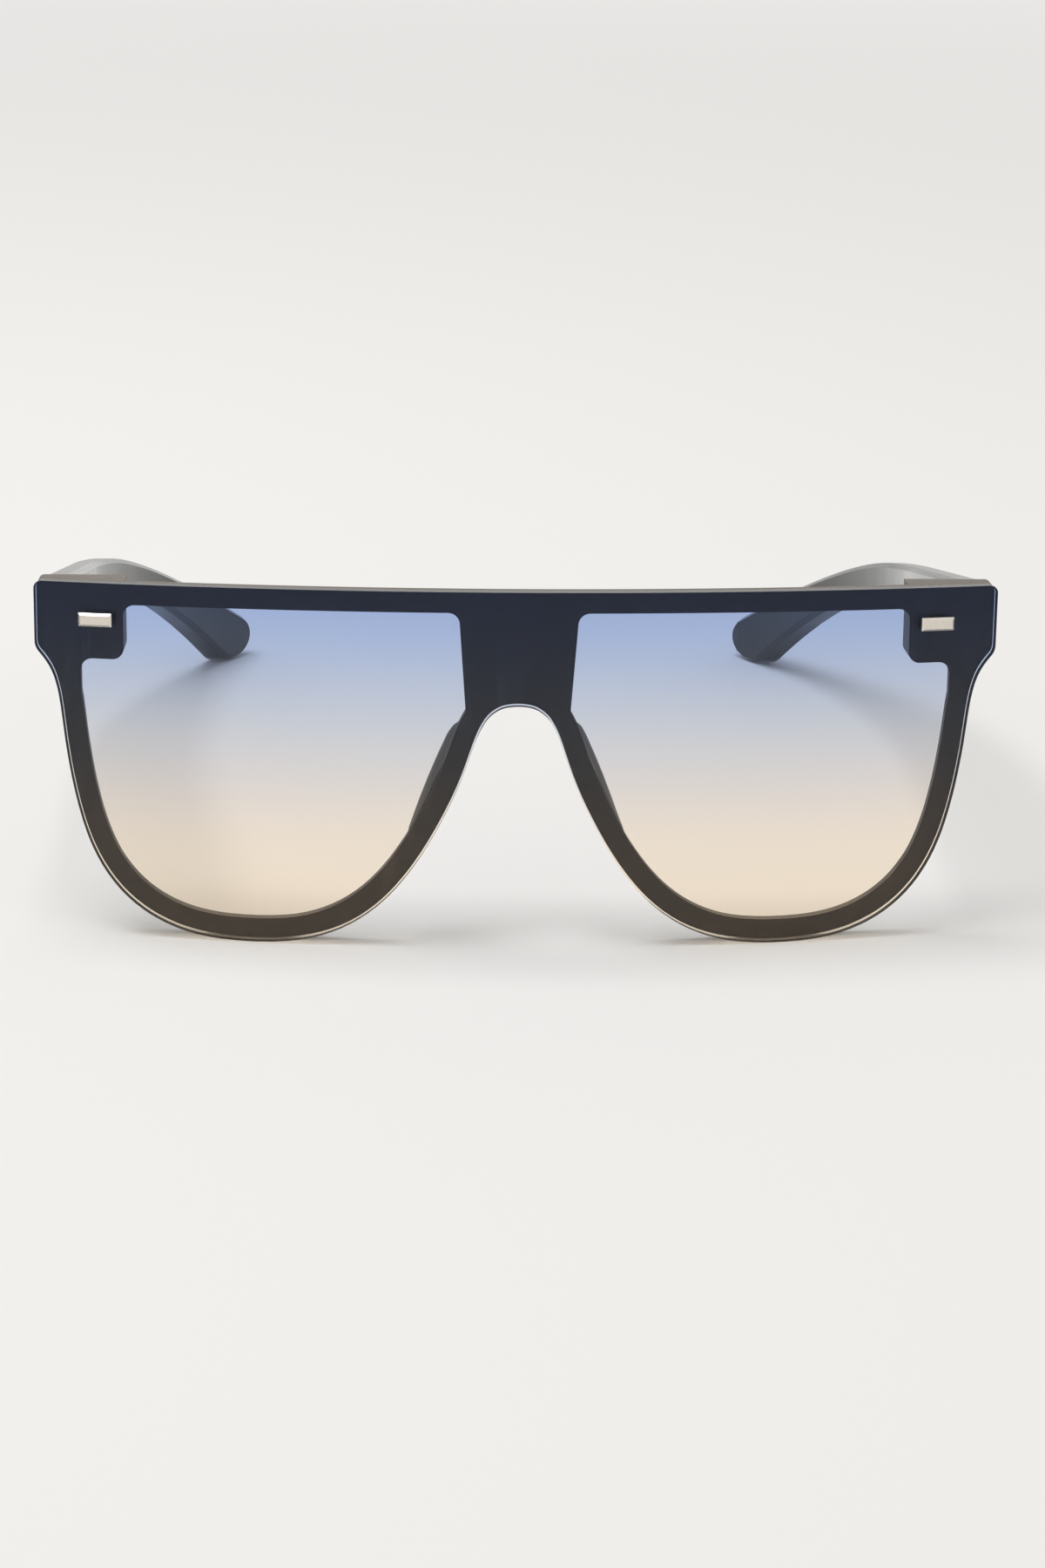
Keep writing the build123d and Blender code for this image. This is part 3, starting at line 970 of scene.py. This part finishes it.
@dataclass
class Front:
    """The lens with the moulded frame behind it and the two plaques on it.

    Attributes:
        attitude: How the front stands.
        frame_rounding: How wide the frame's edges are rounded.
        plaque_rounding: How wide the plaques' edges are rounded.
        plaque_top: The height above which a plaque's points belong to its top edge.
        plaque_trim: How far that edge is lowered.
        wall_reach: How near the lens's edge the points of the frame's outer wall are.
        flat_top: The height above which the frame's wall stays as it is.
        reliefs: How far the wall is drawn in, at distances from the middle. Where the
            value is less than nothing, beside the nose, the wall comes out.
    """

    attitude: Attitude
    frame_rounding: float = 0.14 * MM
    plaque_rounding: float = 0.18 * MM
    plaque_top: float = 50.95 * MM
    plaque_trim: float = 0.22 * MM
    wall_reach: float = 0.345 * MM
    flat_top: float = 55.2 * MM
    reliefs: tuple[tuple[float, float], ...] = (
        (5 * MM, -0.1 * MM),
        (10 * MM, -0.17 * MM),
        (25 * MM, -0.19 * MM),
        (32 * MM, -0.02 * MM),
        (40 * MM, 0.06 * MM),
        (64 * MM, 0.15 * MM),
    )

    def build(self, effects: Effects) -> None:
        """Makes and dresses the pieces of the front.

        Args:
            effects: The shared node groups.
        """
        lens = ShieldLens(self.attitude)
        outline = lens.outline()
        lens.build(effects)
        frame = Softened("front_frame", "frame", "front", "frame", self.frame_rounding)
        frame.build(FRAME_PLASTIC.material(effects), lambda shape: self._draw_in(shape, outline))
        metal = PLAQUE_METAL.material(effects)
        for side in Side:
            plaque = Softened(f"front_plaque_{side.value}", f"plaque_{side.value}", "front",
                              "plaque", self.plaque_rounding)
            plaque.build(metal, self._trim_plaque)

    def _relief(self, side: float) -> float:
        """How far the frame's outer wall is drawn in at a distance from the middle.

        Args:
            side: The distance from the middle.

        Returns:
            The way in.
        """
        for (start, first), (end, last) in zip(self.reliefs, self.reliefs[1:]):
            if side <= end:
                return first + (last - first) * max(0.0, (side - start) / (end - start))
        return self.reliefs[-1][1]

    def _trim_plaque(self, shape: BMesh) -> None:
        """Lowers a plaque's top edge a little.

        Args:
            shape: The plaque with its pins.
        """
        for vertex in shape.verts:
            side, height, depth = self.attitude.reading(vertex.co)
            if height > self.plaque_top:
                vertex.co = self.attitude.point(side, height - self.plaque_trim, depth)

    def _draw_in(self, shape: BMesh, outline: list[Stretch]) -> None:
        """Draws the frame's outer wall in from the lens's edge, or out towards it.

        Args:
            shape: The frame.
            outline: The lens's edge, as pairs of side and height.
        """
        for vertex in shape.verts:
            side, height, depth = self.attitude.reading(vertex.co)
            place = Vector((side, height))
            near, gap = nearest(place, outline)
            if gap <= self.wall_reach and height <= self.flat_top:
                moved = near + (place - near) * (1 + self._relief(abs(side)) / gap)
                vertex.co = self.attitude.point(moved.x, moved.y, depth)


@dataclass
class TempleArm:
    """A temple with its hinge."""

    side: Side
    rounding: float = 0.5 * MM
    rounding_steps: int = 4

    def build(self, plastic: Material, hinge: Material, screw: Material) -> None:
        """Makes and dresses the pieces of one side.

        Args:
            plastic: The temple's finish.
            hinge: The finish of both hinge leaves.
            screw: The finish of the hinge screw.
        """
        side = self.side.value
        arm = Softened(f"temple_{side}", f"temple_arm_{side}", f"temple_arm_{side}", "temple",
                       self.rounding, self.rounding_steps)
        arm.build(plastic)
        dress(f"hinge_temple_leaf_{side}", hinge)
        dress(f"hinge_front_leaf_{side}", hinge)
        dress(f"hinge_screw_{side}", screw)


def seen_directly(pen: NodePen) -> NodeSocket:
    """Whether a ray comes from the camera or off a shiny or clear surface.

    Args:
        pen: The pen of the table's material or of the world.

    Returns:
        1 for such a ray and 0 for any other.
    """
    path = pen.add("ShaderNodeLightPath").outputs
    direct = pen.math("MAXIMUM", path["Is Camera Ray"], path["Is Glossy Ray"])
    return pen.math("MAXIMUM", direct, path["Is Transmission Ray"])


@dataclass
class Studio:
    """The table, the light all round and the lamp.

    Attributes:
        table_size: The length of the table's sides.
        table_color: Its colour, which the background shares.
        table_roughness: Its roughness.
        table_gloss: How much it shines.
        cloud_scale: How many faint clouds its colour has to a metre.
        cloud_shade: How dark they are.
        near_glow: The share of its colour that it shows near the glasses in any light.
        near: How far from the middle that share starts to rise.
        far: Where it shows its colour alone.
        world_strength: How strong the light from all round is.
        lamp_power: The lamp's power in watts.
        lamp_size: The length of its sides.
        lamp_place: Where it hangs.
    """

    table_size: float = 12.0
    table_color: Color = linear(236, 235, 233)
    table_roughness: float = 0.9
    table_gloss: float = 0.2
    cloud_scale: float = 3.0
    cloud_shade: float = 0.985
    near_glow: float = 0.06
    near: float = 0.3
    far: float = 1.4
    world_strength: float = 0.6
    lamp_power: float = 16.8
    lamp_size: float = 1.0
    lamp_place: Vector = field(default_factory=lambda: Vector((-0.42, 0.02, 1.55)))

    def build(self) -> None:
        """Makes the studio."""
        self._table()
        self._world()
        self._lamp()
        bpy.context.scene.view_settings.view_transform = "Standard"

    def _table(self) -> None:
        """The pale table top, as pale far off as it is near, which keeps its shadows."""
        half = self.table_size / 2
        mesh = bpy.data.meshes.new("table")
        corners = [(-half, -half, 0), (half, -half, 0), (half, half, 0), (-half, half, 0)]
        mesh.from_pydata(corners, [], [range(len(corners))])
        table = bpy.data.objects.new("table", mesh)
        bpy.context.scene.collection.objects.link(table)
        mesh.materials.append(self._table_top())

    def _table_top(self) -> Material:
        """The table's finish.

        Returns:
            The material.
        """
        material, pen, shader = fresh_material("table top")
        pale = opaque(self.table_color)
        shade = opaque(tuple(self.cloud_shade * value for value in self.table_color))
        clouds = pen.noise(pen.place(), self.cloud_scale, detail=2.0)
        pen.wire(pen.blend(clouds, pale, shade), shader.inputs["Base Color"])
        shader.inputs["Roughness"].default_value = self.table_roughness
        shader.inputs["Specular IOR Level"].default_value = self.table_gloss
        away = pen.add("ShaderNodeVectorMath", operation="LENGTH")
        pen.wire(pen.place(), away.inputs[0])
        share = pen.spread(away.outputs["Value"], self.near, self.far, to_low=self.near_glow)
        glow = pen.add("ShaderNodeEmission")
        pen.wire(pale, glow.inputs["Color"])
        pen.surface(pen.math("MULTIPLY", seen_directly(pen), share), shader, glow)
        return material

    def _world(self) -> None:
        """Even pale light from all round, behind the glasses as bright as the table."""
        world = bpy.data.worlds.new("studio")
        world.use_nodes = True
        pen = NodePen(world.node_tree)
        background = world.node_tree.nodes["Background"]
        strength = pen.spread(seen_directly(pen), to_low=self.world_strength)
        pen.wire(opaque(self.table_color), background.inputs["Color"])
        pen.wire(strength, background.inputs["Strength"])
        bpy.context.scene.world = world

    def _lamp(self) -> None:
        """The square soft lamp, which faces the glasses."""
        light = bpy.data.lights.new("key lamp", "AREA")
        light.shape = "SQUARE"
        light.size = self.lamp_size
        light.energy = self.lamp_power
        lamp = bpy.data.objects.new("key lamp", light)
        lamp.location = self.lamp_place
        lamp.rotation_euler = (-self.lamp_place).to_track_quat("-Z", "Y").to_euler()
        bpy.context.scene.collection.objects.link(lamp)


@dataclass
class Viewpoint:
    """The camera, in front of the glasses and a little above them.

    Attributes:
        place: Where the camera stands.
        yaw: How far it is turned to the wearer's left, in degrees.
        pitch: How far it looks down.
        roll: How far it is tilted sideways.
        focal_length: The camera lens's, in millimetres.
        sensor_width: The sensor's, in millimetres.
        clip_start: The nearest distance that it shows.
    """

    place: Vector = field(default_factory=lambda: Vector((-18.18, -575.56, 201.19)) * MM)
    yaw: float = 2.17
    pitch: float = 19.29
    roll: float = 0.904
    focal_length: float = 79.45
    sensor_width: float = 36.0
    clip_start: float = 10.0 * MM

    def build(self) -> None:
        """Makes the camera."""
        camera_data = bpy.data.cameras.new("camera")
        camera_data.lens = self.focal_length
        camera_data.sensor_width = self.sensor_width
        camera_data.clip_start = self.clip_start
        camera = bpy.data.objects.new("camera", camera_data)
        camera.matrix_world = Matrix.Translation(self.place) @ self._turn()
        bpy.context.scene.collection.objects.link(camera)
        bpy.context.scene.camera = camera

    def _turn(self) -> Matrix:
        """The way that the camera is turned.

        Returns:
            The rotation.
        """
        yaw, pitch, roll = (math.radians(angle) for angle in (self.yaw, self.pitch, self.roll))
        ahead = Vector((math.sin(yaw) * math.cos(pitch), math.cos(yaw) * math.cos(pitch),
                        -math.sin(pitch)))
        level = Vector((math.cos(yaw), -math.sin(yaw), 0))
        upright = level.cross(ahead)
        right = level * math.cos(roll) + upright * math.sin(roll)
        top = upright * math.cos(roll) - level * math.sin(roll)
        return Matrix((right, top, -ahead)).transposed().to_4x4()


def main() -> None:
    """Builds the scene in order."""
    logging.basicConfig(level=logging.INFO, format="%(name)s: %(message)s")
    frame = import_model()
    attitude = Attitude.of_hinge(Vector(frame["joints"][0]["axis"]))
    effects = Effects()
    Front(attitude).build(effects)
    plastic = TEMPLE_PLASTIC.material(effects)
    hinge = HINGE_METAL.material(effects)
    screw = SCREW_METAL.material(effects)
    for side in Side:
        TempleArm(side).build(plastic, hinge, screw)
    Studio().build()
    Viewpoint().build()
    bpy.context.view_layer.update()


if __name__ == "__main__":
    main()
